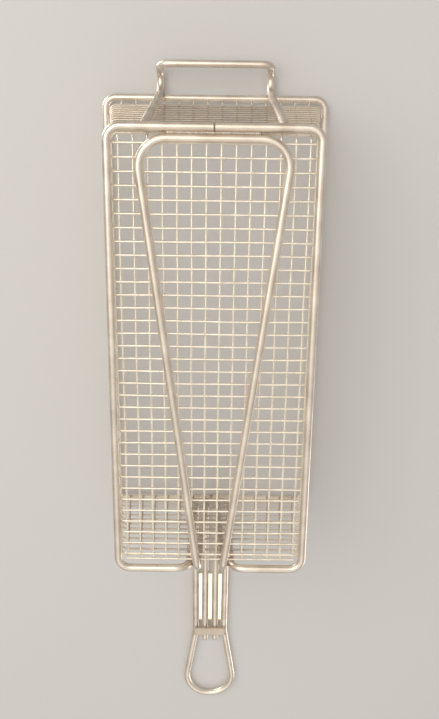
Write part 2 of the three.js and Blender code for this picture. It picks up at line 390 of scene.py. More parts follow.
CROSSING_CHEEK = 2.2        # from a rod's middle to the fillets on its two sides
CROSSING_RADIUS = 1.2
CROSSING_FILLET = ((4.1, -3.3), (3.2, -0.6), (4.3, 1.6))    # y and z from the rim's middle

FOOT_CHEEK = 2.7
FOOT_RADIUS = 1.15
FOOT_FILLET = ((-2.9, 4.6), (-0.9, 6.2), (1.6, 5.6))        # y from the frame's bar, and z

ROD_FOOT_LOW = (169.2, 9)   # y and z of the bead between an outer and an inner rod's foot
ROD_FOOT_HIGH = (171.4, 25)
ROD_FOOT_LEAN = 0.3
ROD_FOOT_RADIUS = 1.1

STRIP_BEAD_HALF = 1.9
STRIP_BEAD_OUT = 0.1        # off the strip's long edges
STRIP_BEAD_LIFT = 0.2
STRIP_BEAD_RADIUS = 0.8
OUTER_BEAD_SHIFT = 0.4      # the outer beads sit a little outside their rods' middles

PLATE_BEAD_LENGTH = 11
PLATE_BEAD_OUT = 0.1
PLATE_BEAD_NEAR = 7         # from the plate's basket end to the start of the first bead
PLATE_BEAD_FAR = 18         # from its other end to the start of the second
PLATE_BEAD_RADIUS = 0.75


def rod_crossing(x, side):
    """The two fillets between the rim and a rod that climbs past it at x."""
    return [
        [Vector((x + cheek, side * (RIM_HALF_Y + out), RIM_Z + up)) for out, up in CROSSING_FILLET]
        for cheek in (-CROSSING_CHEEK, CROSSING_CHEEK)
    ]


def hook_foot(x):
    """The two fillets that hold one foot of the hook on the frame's bar."""
    return [
        [Vector((x + cheek, -FRAME_HALF_Y + inward, z)) for inward, z in FOOT_FILLET]
        for cheek in (-FOOT_CHEEK, FOOT_CHEEK)
    ]


def rod_foot(side):
    """The bead that joins an outer and an inner rod where they start to climb."""
    x = side * (OUTER_ROD_BOTTOM_X + BRACE_NARROW_X) / 2
    return [Vector((x, *ROD_FOOT_LOW)), Vector((x - side * ROD_FOOT_LEAN, *ROD_FOOT_HIGH))]


def plate_edge(side, y):
    """One bead along a side edge of the plate."""
    x = side * (plate_high.x + PLATE_BEAD_OUT)
    z = plate_low.z - PLATE_BEAD_OUT
    return [Vector((x, y, z)), Vector((x, y + PLATE_BEAD_LENGTH, z))]


def level_run(x_from, x_to, y, z):
    """A straight bead across the basket."""
    return [Vector((x_from, y, z)), Vector((x_to, y, z))]


def bead_groups():
    """Every bead by the piece it belongs to: its centre line and its radius."""
    bar_gap_y = (BRACE_WIDE_Y - FRAME_HALF_Y) / 2
    brace = level_run(*BRACE_BEAD_X, bar_gap_y, BRACE_BEAD_Z)
    outer_x = OUTER_ROD_END_X + OUTER_BEAD_SHIFT
    strip_z = strip_high.z + STRIP_BEAD_LIFT
    return {
        "brace_weld": [(brace, BRACE_BEAD_RADIUS)],
        "hook_foot_welds": [
            (line, FOOT_RADIUS) for x in (-HOOK_FOOT_X, HOOK_FOOT_X) for line in hook_foot(x)
        ],
        "hook_rim_welds": [
            (line, CROSSING_RADIUS) for x in (-HOOK_X, HOOK_X) for line in rod_crossing(x, -1)
        ],
        "handle_rim_welds": [
            (line, CROSSING_RADIUS)
            for x in (-OUTER_ROD_RIM_X, -INNER_ROD_X, INNER_ROD_X, OUTER_ROD_RIM_X)
            for line in rod_crossing(x, 1)
        ],
        "rod_foot_welds": [(rod_foot(side), ROD_FOOT_RADIUS) for side in (-1, 1)],
        "strip_welds": [
            (level_run(x - STRIP_BEAD_HALF, x + STRIP_BEAD_HALF, y, strip_z), STRIP_BEAD_RADIUS)
            for y in (strip_low.y - STRIP_BEAD_OUT, strip_high.y + STRIP_BEAD_OUT)
            for x in (-outer_x, -INNER_ROD_X, INNER_ROD_X, outer_x)
        ],
        "plate_welds": [
            (plate_edge(side, y), PLATE_BEAD_RADIUS)
            for side in (-1, 1)
            for y in (plate_low.y + PLATE_BEAD_NEAR, plate_high.y - PLATE_BEAD_FAR)
        ],
    }


BEADS = bead_groups()

HEAT_SPOT_STEP = 2.0
HEAT_REACH = 3.4
HEAT_UNEVENNESS = 0.35
HEAT_GRAIN = 0.16           # waves of the unevenness per millimetre


def heat_source():
    """A search tree over the beads, for the heat tint round them."""
    lines = [line for group in BEADS.values() for line, _ in group]
    spots = [at for line in lines for at in spaced(line, HEAT_SPOT_STEP)]
    tree = kdtree.KDTree(len(spots))
    for index, at in enumerate(spots):
        tree.insert(at, index)
    tree.balance()
    return tree


HEAT_TREE = heat_source()


def heat_at(at):
    """How strongly a rod is tinted by the nearest weld, from 0 to 1."""
    distance = HEAT_TREE.find(at)[2]
    uneven = 1 + HEAT_UNEVENNESS * noise.noise(at * HEAT_GRAIN)
    return min(1.0, math.exp(-((distance / HEAT_REACH) ** 2)) * uneven)


def bead(metal, line, radius):
    """One rippled bead that swells from its start and dies away at its end."""
    line = spaced(line, BEAD_STEP)
    length = sum((after - at).length for at, after in zip(line, line[1:]))
    radii = []
    for index, at in enumerate(line):
        travelled = length * index / (len(line) - 1)
        freeze_line = abs(math.cos(math.pi * travelled / RIPPLE))
        ripple = RIPPLE_LOW + (1 - RIPPLE_LOW) * freeze_line
        lumps = 1 + LUMP_DEPTH * noise.noise(at / LUMP_SIZE)
        end = min(travelled, length - travelled) / BEAD_TAPER
        swell = math.sqrt(min(1.0, BEAD_TIP + end))
        radii.append(radius * ripple * lumps * swell)
    metal.add(line, radii, BEAD_SIDES, [1.0] * len(line))


def make_beads(material):
    """One piece for each group of beads."""
    for name, group in BEADS.items():
        metal = Metal()
        for line, radius in group:
            bead(metal, line, radius)
        metal.make(name, material, "rod_steel")


# ---- rods ----------------------------------------------------------------------------------

def add_rod(metal, corners, rounding, end_heat=0.0):
    """Sweeps a bent rod; end_heat darkens it where its two ends are joined."""
    line, radii = with_ends(spaced(bent(corners), ROD_STEP), ROD / 2, rounding)
    heats_and_darkening = [heat_at(at) for at in line]
    for index in (*range(len(END_ANGLES)), *range(-len(END_ANGLES), 0)):
        heats_and_darkening[index] = max(heats_and_darkening[index], end_heat)
    metal.add(line, radii, ROD_SIDES, heats_and_darkening)


def frame_side(side):
    """Half of the frame and handle wire, from the hook-end bar to the grip's tip."""
    return [
        corner(side * FRAME_HALF_X, -FRAME_HALF_Y, FRAME_Z, FRAME_BEND),
        corner(side * FRAME_HALF_X, FRAME_HALF_Y, FRAME_Z, FRAME_BEND),
        corner(side * OUTER_ROD_BOTTOM_X, FRAME_HALF_Y, FRAME_Z, FOOT_BEND),
        corner(side * OUTER_ROD_RIM_X, ROD_TOP_Y, RIM_Z, WALL_BEND),
        corner(side * OUTER_ROD_END_X, FLARE_Y, RIM_Z, FLARE_BEND),
        corner(side * GRIP_CORNER_X, GRIP_TIP_Y, RIM_Z, GRIP_BEND),
    ]


def frame_and_handle(material):
    """Bottom frame, outer rods and grip loop: one wire that meets itself in a butt seam."""
    corners = [
        corner(SEAM_GAP / 2, -FRAME_HALF_Y, FRAME_Z),
        *frame_side(1),
        *reversed(frame_side(-1)),
        corner(-SEAM_GAP / 2, -FRAME_HALF_Y, FRAME_Z),
    ]
    metal = Metal()
    add_rod(metal, corners, rounding=0.3, end_heat=1.0)
    metal.make("frame_and_handle", material, "rod_steel", "frame_and_handle_wire")


def brace_loop(material):
    """The tapering loop under the floor, whose ends climb the wall as the inner rods."""
    metal = Metal()
    add_rod(metal, mirrored([
        corner(INNER_ROD_X, INNER_ROD_END_Y, RIM_Z),
        corner(INNER_ROD_X, ROD_TOP_Y, RIM_Z, WALL_BEND),
        corner(BRACE_NARROW_X, FRAME_HALF_Y, FRAME_Z, BRACE_FOOT_BEND),
        corner(BRACE_CORNER_X, BRACE_WIDE_Y, FRAME_Z, BRACE_BEND),
    ]), rounding=2.5)
    metal.make("brace_loop", material, "rod_steel", "brace_loop_wire")


def hanger_hook(material):
    """Two legs up the hook-end wall, over the rim, and down to a level bar."""
    foot_y = -FRAME_HALF_Y - ROD_SLOPE * (HOOK_FOOT_Z - FRAME_Z)
    metal = Metal()
    add_rod(metal, mirrored([
        corner(HOOK_FOOT_X, foot_y, HOOK_FOOT_Z),
        corner(HOOK_X, -ROD_TOP_Y, RIM_Z, WALL_BEND),
        corner(HOOK_X, HOOK_SHOULDER_Y, RIM_Z, HOOK_BEND),
        corner(HOOK_BAR_X, HOOK_BAR_Y, HOOK_BAR_Z, HOOK_BEND),
    ]), rounding=1.6)
    metal.make("hanger_hook", material, "rod_steel", "hanger_hook_wire")


def level_loop(half_x, half_y, z, bend):
    """Corners of a closed wire that starts in the middle of its handle-end side."""
    return [
        corner(0, half_y, z),
        corner(-half_x, half_y, z, bend),
        corner(-half_x, -half_y, z, bend),
        corner(half_x, -half_y, z, bend),
        corner(half_x, half_y, z, bend),
    ]


RIM_SEAM_WIDTH = 2.2
RIM_SEAM_SWELL = 0.06


def rim(material):
    """The closed wire round the mouth, with a dressed butt weld where it starts."""
    corners = level_loop(RIM_HALF_X, RIM_HALF_Y, RIM_Z, RIM_BEND)
    line = spaced(bent(corners), RIM_STEP, closed=True)
    seam = [math.exp(-(((at - line[0]).length / RIM_SEAM_WIDTH) ** 2)) for at in line]
    radii = [ROD / 2 * (1 + RIM_SEAM_SWELL * one) for one in seam]
    heats_and_darkening = [max(heat_at(at), one) for at, one in zip(line, seam)]
    metal = Metal()
    metal.add(line, radii, ROD_SIDES, heats_and_darkening, closed=True)
    metal.make("rim", material, "rod_steel", "rim_wire")


# ---- mesh ----------------------------------------------------------------------------------

SPOT_REACH = 1.1            # a spot weld spreads the wire this far to each side
SPOT_EDGE = 0.25            # and this share of its swell and heat is left there
SPOT_SWELL = 0.18
SPOT_HEAT = 0.14
DENT_DEPTH = 0.4
DENT_SIZE = 55
KINK_DEPTH = 0.08
KINK_SIZE = 9
DENT_SEED = 5               # without a seed, noise_vector gives other dents in every run

# Painted shade: the mesh of both end walls is darkened above the floor. It is darker still between
# the hook's legs and behind the handle rods, and random blotches lie over all the mesh.
DARKENING_Y = (150, 163)        # each pair: where the darkening starts, and where it is full
SHADE_Z = (8, 22)
HOOK_END_DARKENING_X = (52, 38)
HANDLE_END_DARKENING_X = (34, 18)
END_WALL_PAINTED_SHADE = 0.46
MIDDLE_DARKENING = 0.24
BLOTCH_STAIN = 0.1
BLOTCH_GRAIN = 0.05         # blotches per millimetre
HOOK_UPRIGHTS_SPARED = 0.75    # the share of the darkening that the hook-end uprights lack

NUGGET_REACH = 1.3
NUGGET_OUT = 0.3            # the nuggets sit this far outside the tops of the uprights
NUGGET_RADIUS = 0.95
NUGGET_SPREAD = 0.12
NUGGET_STATIONS = (-1, -0.8, -0.35, 0.35, 0.8, 1)
NUGGET_TIP = 0.05


def spot(x, y, z):
    """A point on a straight run where a crossing wire is welded on."""
    return Vector((x, y, z)), None


def dented(at):
    """The mesh gives a little: crossing wires are pushed the same way and stay together."""
    dent = noise.noise_vector(at / DENT_SIZE) * DENT_DEPTH
    kink = noise.noise_vector(at / KINK_SIZE) * KINK_DEPTH
    return at + dent + kink


def darkening_at(at):
    """Painted shade up the end walls, darker still between the hook's legs and behind the rods,
    and random blotches.
    """
    end_wall = smooth_step(*DARKENING_Y, abs(at.y)) * smooth_step(*SHADE_Z, at.z)
    hook_end = smooth_step(*DARKENING_Y, -at.y) * smooth_step(*HOOK_END_DARKENING_X, abs(at.x))
    handle_end = smooth_step(*DARKENING_Y, at.y) * smooth_step(*HANDLE_END_DARKENING_X, abs(at.x))
    blotches = 0.5 + 0.5 * noise.noise(at * BLOTCH_GRAIN)
    # painted shade on the end walls, extra darkening in their middles, and blotches of uneven tone
    return (
        END_WALL_PAINTED_SHADE * end_wall
        + MIDDLE_DARKENING * hook_end
        + MIDDLE_DARKENING * handle_end
        + BLOTCH_STAIN * blotches
    )


def upright_darkening_at(at):
    """The same for the lengthwise wires, which get less of it than the rings at the hook end."""
    return darkening_at(at) * (1 - HOOK_UPRIGHTS_SPARED * smooth_step(*DARKENING_Y, -at.y))


def smooth_step(start, end, value):
    """0 up to start and 1 beyond end, easing between them."""
    share = min(1.0, max(0.0, (value - start) / (end - start)))
    return share * share * (3 - 2 * share)


def mesh_wire(metal, corners, closed=False, darkening=darkening_at):
    """Sweeps one mesh wire through its bends and spot welds."""
    stations = []
    for index, (at, bend) in enumerate(corners):
        before, after = corners[index - 1][0], corners[(index + 1) % len(corners)][0]
        if bend is None:
            along = (after - before).normalized() * SPOT_REACH
            stations += [(at - along, SPOT_EDGE), (at, 1.0), (at + along, SPOT_EDGE)]
        elif bend:
            stations += [(point, 0.0) for point in arc(before, at, after, bend)]
        else:
            stations.append((at, 0.0))
    line = [dented(at) for at, _ in stations]
    radii = [MESH_WIRE / 2 * (1 + SPOT_SWELL * weld) for _, weld in stations]
    # each station's tint: the spot weld's heat plus the painted shade and darkening of the end
    # walls
    heats_and_darkening = [SPOT_HEAT * weld + darkening(at) for at, weld in stations]
    metal.add(line, radii, MESH_SIDES, heats_and_darkening, closed)


def lengthwise_wire(metal, index):
    """One wire down the hook-end wall, along the floor and up the handle-end wall."""
    rings = [ring_z(ring) for ring in range(RINGS)]
    x = length_wire_x(index)

    def climb(side):
        return [spot(length_wire_x(index, z), side * upright_y(z), z) for z in rings]

    def lean_out(side):
        low_x = length_wire_x(index, LEAN_OUT_Z)
        top_x = length_wire_x(index, UPRIGHT_TOP_Z)
        return [
            corner(low_x, side * upright_y(LEAN_OUT_Z), LEAN_OUT_Z, MESH_BEND),
            corner(top_x, side * wall_y(UPRIGHT_TOP_Z), UPRIGHT_TOP_Z),
        ]

    end_y = upright_y(LENGTH_WIRES_Z)
    mesh_wire(metal, [
        *reversed(lean_out(-1)),
        *reversed(climb(-1)),
        corner(x, -end_y, LENGTH_WIRES_Z, MESH_BEND),
        *[spot(x, cross_wire_y(cross), LENGTH_WIRES_Z) for cross in range(CROSS_WIRES)],
        corner(x, end_y, LENGTH_WIRES_Z, MESH_BEND),
        *climb(1),
        *lean_out(1),
    ], darkening=upright_darkening_at)


def crosswise_wire(metal, index):
    """One wire down the left wall, across the floor and up the right wall."""
    rings = [ring_z(ring) for ring in range(RINGS)]
    y = cross_wire_y(index)

    def climb(side):
        return [spot(side * wall_x(z), cross_wire_y(index, z), z) for z in rings]

    top_y = cross_wire_y(index, UPRIGHT_TOP_Z)
    end_x = wall_x(CROSS_WIRES_Z)
    mesh_wire(metal, [
        corner(-wall_x(UPRIGHT_TOP_Z), top_y, UPRIGHT_TOP_Z),
        *reversed(climb(-1)),
        corner(-end_x, y, CROSS_WIRES_Z, MESH_BEND),
        *[spot(length_wire_x(wire), y, CROSS_WIRES_Z) for wire in range(LENGTH_WIRES)],
        corner(end_x, y, CROSS_WIRES_Z, MESH_BEND),
        *climb(1),
        corner(wall_x(UPRIGHT_TOP_Z), top_y, UPRIGHT_TOP_Z),
    ])


def ring_wire(metal, index):
    """One wire round all four walls, with a spot weld at every upright it meets."""
    z = ring_z(index)
    half_x = wall_x(z) - RING_SIDE_INSET
    half_y = wall_y(z) - RING_END_INSET
    straight_x = half_x - RING_BEND - BEND_MARGIN
    straight_y = half_y - RING_BEND - BEND_MARGIN
    end_x = [length_wire_x(wire, z) for wire in range(LENGTH_WIRES)]
    side_y = [cross_wire_y(wire, z) for wire in range(CROSS_WIRES)]
    end_x = [x for x in end_x if abs(x) < straight_x]
    side_y = [y for y in side_y if abs(y) < straight_y]
    mesh_wire(metal, [
        *[spot(x, half_y, z) for x in reversed(end_x)],
        corner(-half_x, half_y, z, RING_BEND),
        *[spot(-half_x, y, z) for y in reversed(side_y)],
        corner(-half_x, -half_y, z, RING_BEND),
        *[spot(x, -half_y, z) for x in end_x],
        corner(half_x, -half_y, z, RING_BEND),
        *[spot(half_x, y, z) for y in side_y],
        corner(half_x, half_y, z, RING_BEND),
    ], closed=True)


def mesh_basket(material):
    """The lengthwise wires, the cross wires and the rings; each ring is a piece of its own."""
    length_wires = Metal()
    for index in range(LENGTH_WIRES):
        lengthwise_wire(length_wires, index)
    length_wires.make(
        "length_wires", material, "mesh_steel",
        "floor_length_wires", "handle_end_uprights", "hook_end_uprights",
    )
    cross_wires = Metal()
    for index in range(CROSS_WIRES):
        crosswise_wire(cross_wires, index)
    cross_wires.make(
        "cross_wires", material, "mesh_steel",
        "floor_cross_wires", "left_side_uprights", "right_side_uprights",
    )
    for index in range(RINGS):
        ring = Metal()
        ring_wire(ring, index)
        number = f"{index + 1:02d}"
        ring.make(f"ring_{number}", material, "mesh_steel", f"ring_wire_{number}")


def floor_end_wire(material):
    """A wire across the floor's handle end, in the bend where the lengthwise wires turn up."""
    wires = range(LENGTH_WIRES)
    metal = Metal()
    mesh_wire(metal, [
        corner(-FLOOR_END_HALF, FLOOR_END_Y, CROSS_WIRES_Z),
        *[spot(length_wire_x(wire), FLOOR_END_Y, CROSS_WIRES_Z) for wire in wires],
        corner(FLOOR_END_HALF, FLOOR_END_Y, CROSS_WIRES_Z),
    ])
    metal.make("floor_end_wire", material, "mesh_steel")


def rim_spot_welds(material):
    """The small nuggets that hold the top of every upright to the underside of the rim."""
    metal = Metal()
    top_x = wall_x(UPRIGHT_TOP_Z) + NUGGET_OUT
    top_y = wall_y(UPRIGHT_TOP_Z) + NUGGET_OUT
    for side in (-1, 1):
        for wire in range(LENGTH_WIRES):
            x = length_wire_x(wire, UPRIGHT_TOP_Z)
            nugget(metal, Vector((x, side * top_y, UPRIGHT_TOP_Z)), Vector((NUGGET_REACH, 0, 0)))
        for wire in range(CROSS_WIRES):
            y = cross_wire_y(wire, UPRIGHT_TOP_Z)
            nugget(metal, Vector((side * top_x, y, UPRIGHT_TOP_Z)), Vector((0, NUGGET_REACH, 0)))
    metal.make("rim_spot_welds", material, "mesh_steel")


def nugget(metal, at, reach):
    """A small lump, longer along reach than it is wide."""
    size = NUGGET_RADIUS + NUGGET_SPREAD * noise.noise(at)
    radii = [size * math.sqrt(max(NUGGET_TIP, 1 - share * share)) for share in NUGGET_STATIONS]
    line = [at + reach * share for share in NUGGET_STATIONS]
    metal.add(line, radii, MESH_SIDES, [1.0] * len(line))


# ---- handle fittings ------------------------------------------------------------------------

def flat_bar(name, low, high, round_off, edge, material, slot, node):
    """A flat strip of sheet with rounded plan corners and eased edges."""
    shape = bmesh.new()
    outline = [
        shape.verts.new(in_metres((at.x, at.y, low.z)))
        for at in plan_outline(low, high, round_off)
    ]
    face = shape.faces.new(outline)
    rise = bmesh.ops.extrude_face_region(shape, geom=[face])["geom"]
    lifted = [item for item in rise if isinstance(item, bmesh.types.BMVert)]
    bmesh.ops.translate(shape, verts=lifted, vec=(0, 0, (high.z - low.z) * MM))
    bmesh.ops.recalc_face_normals(shape, faces=shape.faces)
    folded = [one for one in shape.edges if one.calc_face_angle(0) > SHARP_FROM]
    level = [one for one in folded if abs(one.verts[0].co.z - one.verts[1].co.z) < edge * MM / 2]
    bmesh.ops.bevel(shape, geom=level, offset=edge * MM, segments=3, affect="EDGES")
    mesh = bpy.data.meshes.new(name)
    shape.to_mesh(mesh)
    shape.free()
    return finish_piece(mesh, name, material, slot, node)


def plan_outline(low, high, round_off):
    """A rounded rectangle in plan, anticlockwise."""
    corners = [
        corner(high.x, low.y, 0, round_off),
        corner(high.x, high.y, 0, round_off),
        corner(low.x, high.y, 0, round_off),
        corner(low.x, low.y, 0, round_off),
    ]
    return bent(corners)


def handle_fittings():
    """The bright plate and the duller strip, both sunk a little into the rods they lie on."""
    bright = sheet_steel("bright_plate_steel", PLATE_TONES, PLATE_ROUGHNESS)
    dull = sheet_steel("dull_strip_steel", STRIP_TONES, STRIP_ROUGHNESS)
    sunk = Vector((0, 0, PLATE_SUNK))
    flat_bar("handle_plate_bright", plate_low - sunk, plate_high, PLATE_CORNER, PLATE_EDGE,
             bright, "plate_steel", "handle_plate")
    flat_bar("cross_strip", strip_low, strip_high + sunk, STRIP_CORNER, STRIP_EDGE,
             dull, "rod_steel", "handle_cross_strip")


# ---- materials -----------------------------------------------------------------------------

MIX_FACTOR, MIX_LOW, MIX_HIGH = 0, 6, 7     # a Mix node's sockets when it mixes colours
MIX_RESULT = 2


class Graph:
    """A metal node material on one Principled shader."""

    def __init__(self, name, anisotropy=0.0):
        self.material = bpy.data.materials.new(name)
        self.material.use_nodes = True
        self.tree = self.material.node_tree
        self.shader = self.tree.nodes["Principled BSDF"]
        self.shader.inputs["Metallic"].default_value = 1.0
        self.shader.inputs["Anisotropic"].default_value = anisotropy

    def node(self, kind, **settings):
        made = self.tree.nodes.new(kind)
        for name, value in settings.items():
            setattr(made, name, value)
        return made

    def link(self, output, target):
        self.tree.links.new(output, target)

    def attribute(self, name, output):
        return self.node("ShaderNodeAttribute", attribute_name=name).outputs[output]

    def object_place(self):
        return self.node("ShaderNodeTexCoord").outputs["Object"]

    def noise(self, place, scale, detail, stretch=(1, 1, 1)):
        """Noise of scale waves per metre; stretch multiplies that in the three directions."""
        mapping = self.node("ShaderNodeMapping")
        mapping.inputs["Scale"].default_value = [scale * one for one in stretch]
        texture = self.node("ShaderNodeTexNoise")
        texture.inputs["Scale"].default_value = 1.0
        texture.inputs["Detail"].default_value = detail
        self.link(place, mapping.inputs["Vector"])
        self.link(mapping.outputs["Vector"], texture.inputs["Vector"])
        return texture.outputs["Fac"]

    def ramp(self, factor, *stops):
        """Colours or greys at places between 0 and 1."""
        ramp = self.node("ShaderNodeValToRGB")
        elements = ramp.color_ramp.elements
        while len(elements) < len(stops):
            elements.new(0.5)
        for element, (place, value) in zip(elements, stops):
            element.position = place
            colour = value if isinstance(value, tuple) else (value, value, value)
            element.color = (*colour, 1)
        self.link(factor, ramp.inputs["Fac"])
        return ramp.outputs["Color"]

    def mix(self, factor, low, high, blend="MIX"):
        mixed = self.node("ShaderNodeMix", data_type="RGBA", blend_type=blend)
        for value, target in ((factor, MIX_FACTOR), (low, MIX_LOW), (high, MIX_HIGH)):
            if isinstance(value, (float, tuple)):
                mixed.inputs[target].default_value = value
            else:
                self.link(value, mixed.inputs[target])
        return mixed.outputs[MIX_RESULT]

    def bump(self, height, depth, strength, onto=None):
        """Relief of the given depth in metres, added to an earlier one."""
        made = self.node("ShaderNodeBump")
        made.inputs["Distance"].default_value = depth
        made.inputs["Strength"].default_value = strength
        self.link(height, made.inputs["Height"])
        if onto:
            self.link(onto, made.inputs["Normal"])
        return made.outputs["Normal"]

    def finish(self, colour, roughness, normal):
        self.link(colour, self.shader.inputs["Base Color"])
        self.link(roughness, self.shader.inputs["Roughness"])
        self.link(normal, self.shader.inputs["Normal"])
        return self.material


# Tones are linear colours. A ramp's stops are pairs of a place and a tone or grey.
# The heat tints also paint the shade on the mesh's end walls, which comes in with the weld heat.
HEAT_TINTS = (
    (0.15, (0.74, 0.60, 0.42)),     # straw
    (0.45, (0.46, 0.32, 0.23)),     # brown
    (0.75, (0.30, 0.23, 0.19)),     # dark brown
    (1.0, (0.16, 0.13, 0.11)),      # scale
)
HEAT_AMOUNTS = ((0.04, 0.0), (0.5, 0.4), (1.0, 0.85))
RESIDUE = (0.16, 0.10, 0.06, 1.0)

ROD_TONES = ((0.3, (0.68, 0.59, 0.50)), (0.7, (0.86, 0.78, 0.68)))
ROD_LINES = ((0.35, 0.6), (0.6, 1.0))
ROD_SPECKS = ((0.68, 0.0), (0.74, 0.55))
ROD_ROUGHNESS = ((0.3, 0.33), (0.7, 0.5))

MESH_TONES = ((0.3, (0.80, 0.73, 0.62)), (0.7, (0.95, 0.89, 0.78)))
MESH_SPECKS = ((0.64, 0.0), (0.7, 0.7))
MESH_ROUGHNESS = ((0.3, 0.4), (0.7, 0.58))

PLATE_TONES = ((0.25, (0.82, 0.78, 0.64)), (0.7, (0.91, 0.87, 0.73)))
PLATE_ROUGHNESS = ((0.3, 0.16), (0.7, 0.34))
STRIP_TONES = ((0.25, (0.50, 0.43, 0.35)), (0.7, (0.64, 0.55, 0.46)))
STRIP_ROUGHNESS = ((0.3, 0.4), (0.7, 0.55))
SHEET_GRAIN = ((0.3, 0.6), (0.65, 1.0))

BEAD_TONES = ((0.3, (0.42, 0.35, 0.28)), (0.5, (0.58, 0.53, 0.46)), (0.72, (0.40, 0.37, 0.35)))
BEAD_WAVES = ((0.3, 0.5), (0.65, 1.0))
BEAD_ROUGHNESS = ((0.3, 0.34), (0.7, 0.58))


def tinted(graph, clean, heat_and_darkening):
    """Clean steel that turns straw, brown and dark as its heat rises; on the mesh wires this also
    paints shade on the end walls.
    """
    tint = graph.ramp(heat_and_darkening, *HEAT_TINTS)
    amount = graph.ramp(heat_and_darkening, *HEAT_AMOUNTS)
    return graph.mix(amount, clean, tint)


def rod_steel():
    """Drawn rod: fine lines along it, darker patches, specks of residue and weld tint."""
    graph = Graph("drawn_rod_steel")
    place = graph.attribute("wire_place", "Vector")
    lines = graph.noise(place, 1000, 4, stretch=(1.6, 1.6, 0.02))
    patches = graph.noise(graph.object_place(), 55, 4)
    specks = graph.noise(graph.object_place(), 950, 2)
    clean = graph.ramp(patches, *ROD_TONES)
    lined = graph.mix(0.2, clean, graph.ramp(lines, *ROD_LINES), "MULTIPLY")
    tint = tinted(graph, lined, graph.attribute("weld_heat_and_darkening", "Fac"))
    colour = graph.mix(graph.ramp(specks, *ROD_SPECKS), tint, RESIDUE)
    roughness = graph.ramp(graph.mix(0.5, lines, patches), *ROD_ROUGHNESS)
    relief = graph.bump(lines, depth=0.00005, strength=0.35)
    relief = graph.bump(specks, depth=0.00006, strength=0.2, onto=relief)
    return graph.finish(colour, roughness, relief)


def mesh_steel():
    """Thin mesh wire: duller than the rods, and brown where shade is painted on the end walls."""
    graph = Graph("mesh_wire_steel")
    place = graph.attribute("wire_place", "Vector")
    lines = graph.noise(place, 1800, 3, stretch=(1.5, 1.5, 0.05))
    patches = graph.noise(graph.object_place(), 120, 4)
    clean = graph.ramp(patches, *MESH_TONES)
    # weld tint, plus the painted shade on the end walls
    tint = tinted(graph, clean, graph.attribute("weld_heat_and_darkening", "Fac"))
    specks = graph.noise(graph.object_place(), 1400, 2)
    colour = graph.mix(graph.ramp(specks, *MESH_SPECKS), tint, RESIDUE)
    roughness = graph.ramp(graph.mix(0.5, lines, patches), *MESH_ROUGHNESS)
    relief = graph.bump(lines, depth=0.00004, strength=0.5)
    return graph.finish(colour, roughness, relief)


def sheet_steel(name, tones, roughnesses):
    """Ground sheet: fine lines across the handle, and scuffs."""
    graph = Graph(name, anisotropy=0.3)
    place = graph.object_place()
    grain = graph.noise(place, 900, 4, stretch=(0.04, 2.5, 1))
    scuffs = graph.noise(place, 160, 5, stretch=(1, 0.35, 1))
    clean = graph.ramp(scuffs, *tones)
    colour = graph.mix(0.2, clean, graph.ramp(grain, *SHEET_GRAIN), "MULTIPLY")
    roughness = graph.ramp(graph.mix(0.5, grain, scuffs), *roughnesses)
    relief = graph.bump(grain, depth=0.00005, strength=0.4)
    relief = graph.bump(scuffs, depth=0.0002, strength=0.12, onto=relief)
    return graph.finish(colour, roughness, relief)


def weld_metal():
    """Bead metal: dull, in patches of brown and grey, with fine waves across the bead."""
    graph = Graph("weld_metal")
    place = graph.attribute("wire_place", "Vector")
    waves = graph.noise(place, 420, 4, stretch=(0.6, 0.6, 2.2))
    patches = graph.noise(graph.object_place(), 300, 4)
    tones = graph.ramp(patches, *BEAD_TONES)
    colour = graph.mix(0.5, tones, graph.ramp(waves, *BEAD_WAVES), "MULTIPLY")
    roughness = graph.ramp(waves, *BEAD_ROUGHNESS)
    relief = graph.bump(waves, depth=0.0003, strength=0.35)
    return graph.finish(colour, roughness, relief)


# ---- stage and light -----------------------------------------------------------------------

FLOOR_SIZE = (60.0, 60.0)
FLOOR_TONE = (0.80, 0.79, 0.78)
FLOOR_GLOW = 0.12           # keeps the floor pale far away from the lights
FLOOR_GAP = 0.0003          # below the basket's frame
TABLE_SIZE = (0.9, 1.25)    # the table is behind the basket's mouth, as the camera sees it
TABLE_TONE = (0.58, 0.57, 0.56)
TABLE_GLOW = 0.0
TABLE_GAP = 0.0006          # above the handle plate
BACKDROP_ROUGHNESS = 0.85
BACKDROP_SPECULAR = 0.2

FAR_TONE = (0.60, 0.59, 0.57, 1)        # what the camera sees beyond the backdrops
ROOM_WARMTH = (1, 0.97, 0.93)
# Greys of the room in the metal, by height: 0 is straight down, 0.5 the horizon, 1 straight up.
ROOM_TONES = ((0.0, 0.95), (0.2, 0.72), (0.5, 0.34), (0.74, 0.85), (1.0, 0.2))

LIGHT_TONE = (1.0, 0.96, 0.90)
# Each soft box: its name, its place, the length of its sides, and its power in watts.
SOFT_BOXES = (
    ("key_below", (-0.55, -0.6, -1.15), 1.2, 11),
    ("plate_below", (0.0, 0.9, -0.85), 0.5, 0.85),
    ("key_above", (-1.2, -0.9, 0.95), 0.8, 13),
    ("fill_above", (1.2, 1.0, 0.85), 0.9, 7),
)


def one_sided(name, tone, glow):
    """A matt surface that can be seen from its front only."""
    material = bpy.data.materials.new(name)
    material.use_nodes = True
    tree = material.node_tree
    shader = tree.nodes["Principled BSDF"]
    shader.inputs["Base Color"].default_value = (*tone, 1)
    shader.inputs["Roughness"].default_value = BACKDROP_ROUGHNESS
    shader.inputs["Specular IOR Level"].default_value = BACKDROP_SPECULAR
    shader.inputs["Emission Color"].default_value = (*tone, 1)
    shader.inputs["Emission Strength"].default_value = glow
    clear = tree.nodes.new("ShaderNodeBsdfTransparent")
    side = tree.nodes.new("ShaderNodeNewGeometry")
    choice = tree.nodes.new("ShaderNodeMixShader")
    tree.links.new(side.outputs["Backfacing"], choice.inputs[0])
    tree.links.new(shader.outputs[0], choice.inputs[1])
    tree.links.new(clear.outputs[0], choice.inputs[2])
    tree.links.new(choice.outputs[0], tree.nodes["Material Output"].inputs["Surface"])
    return material


